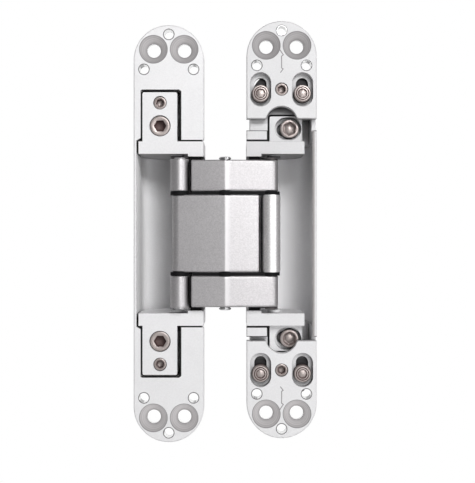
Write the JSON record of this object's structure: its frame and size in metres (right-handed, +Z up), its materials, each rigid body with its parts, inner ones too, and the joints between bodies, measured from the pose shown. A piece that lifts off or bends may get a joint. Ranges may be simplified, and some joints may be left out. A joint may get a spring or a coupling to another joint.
{
  "type": "concealed invisible door hinge",
  "caption": "Concealed door hinge shown fully open: frame and door leaves with deep cast pockets, curved crossing arms, links, pins and adjustments in depth, side and height.",
  "frame": {"origin": "the middle of the frame leaf's four fixing screws, on the leaf's rear face, which seats in the mortise", "axes": "+X from the frame leaf to the door leaf, +Y into the door frame, +Z up along the leaves"},
  "size_m": [0.0834, 0.0432, 0.1918],
  "materials": {
    "cast_silver": "fine-grained satin silver casting",
    "arm_silver": "fine-grained satin silver arms",
    "screw_steel": "nickel-plated steel, brownish in the sockets",
    "pin_steel": "bright turned steel",
    "black_bush": "black acetal"
  },
  "bodies": {
    "frame_leaf": {"frame_housing": "cast_silver", "frame_lock_screws": "screw_steel"},
    "frame_carrier": {"frame_bracket_upper": "cast_silver", "frame_bracket_lower": "cast_silver", "frame_depth_screws": "screw_steel", "frame_arm_pins": "pin_steel", "frame_thrust_bushes": "black_bush"},
    "outer_arms": {"outer_arm_upper": "arm_silver", "outer_arm_lower": "arm_silver", "centre_pin": "pin_steel", "door_floating_pin": "pin_steel", "centre_washers": "black_bush", "door_link_washers": "black_bush"},
    "centre_arms": {"centre_arm": "arm_silver", "frame_floating_pin": "pin_steel", "frame_link_washers": "black_bush"},
    "frame_links": {"frame_link_upper": "arm_silver", "frame_link_lower": "arm_silver", "frame_link_pins": "pin_steel"},
    "door_links": {"door_link": "arm_silver", "door_link_pin": "pin_steel"},
    "door_carrier": {"door_bracket_upper": "cast_silver", "door_bracket_lower": "cast_silver", "door_arm_pin": "pin_steel", "door_arm_spacers": "pin_steel", "door_thrust_bushes": "black_bush"},
    "door_leaf": {"door_housing": "cast_silver", "door_side_screws": "screw_steel", "door_clamp_screws": "screw_steel"},
    "door_plates": {"door_plate_upper": "cast_silver", "door_plate_lower": "cast_silver", "door_height_screws": "screw_steel"}
  },
  "joints": [
    {"name": "frame_depth_adjust", "type": "slide", "parent": "frame_leaf", "child": "frame_carrier", "axis": [0, 1, 0], "range_m": [-0.001, 0.001]},
    {"name": "door_swing", "type": "hinge", "parent": "frame_carrier", "child": "outer_arms", "pos_m": [0.0101, 0.014, 0], "axis": [0, 0, -1], "range_deg": [0, 72.48]},
    {"name": "arm_cross", "type": "hinge", "parent": "outer_arms", "child": "centre_arms", "pos_m": [0.0257, -0.008, 0], "axis": [0, 0, -1], "range_deg": [0, 35.1]},
    {"name": "door_pivot", "type": "hinge", "parent": "centre_arms", "child": "door_carrier", "pos_m": [0.0413, 0.014, 0], "axis": [0, 0, -1], "range_deg": [0, 72.5]},
    {"name": "frame_link_pivot", "type": "hinge", "parent": "centre_arms", "child": "frame_links", "pos_m": [0.0051, -0.0066, 0], "axis": [0, 0, -1], "range_deg": [0, 72.5]},
    {"name": "door_link_pivot", "type": "hinge", "parent": "outer_arms", "child": "door_links", "pos_m": [0.0463, -0.0066, 0], "axis": [0, 0, -1], "range_deg": [-72.5, 0]},
    {"name": "door_side_adjust", "type": "slide", "parent": "door_carrier", "child": "door_leaf", "axis": [1, 0, 0], "range_m": [-0.0013, 0.0007]},
    {"name": "door_height_adjust", "type": "slide", "parent": "door_leaf", "child": "door_plates", "axis": [0, 0, 1], "range_m": [-0.0048, 0.0012]}
  ],
  "couplings": [
    {"joint": "arm_cross", "follows": "door_swing", "ratio": 0.48354},
    {"joint": "door_pivot", "follows": "door_swing", "ratio": 1},
    {"joint": "frame_link_pivot", "follows": "door_swing", "ratio": 1},
    {"joint": "door_link_pivot", "follows": "door_swing", "ratio": -1}
  ]
}
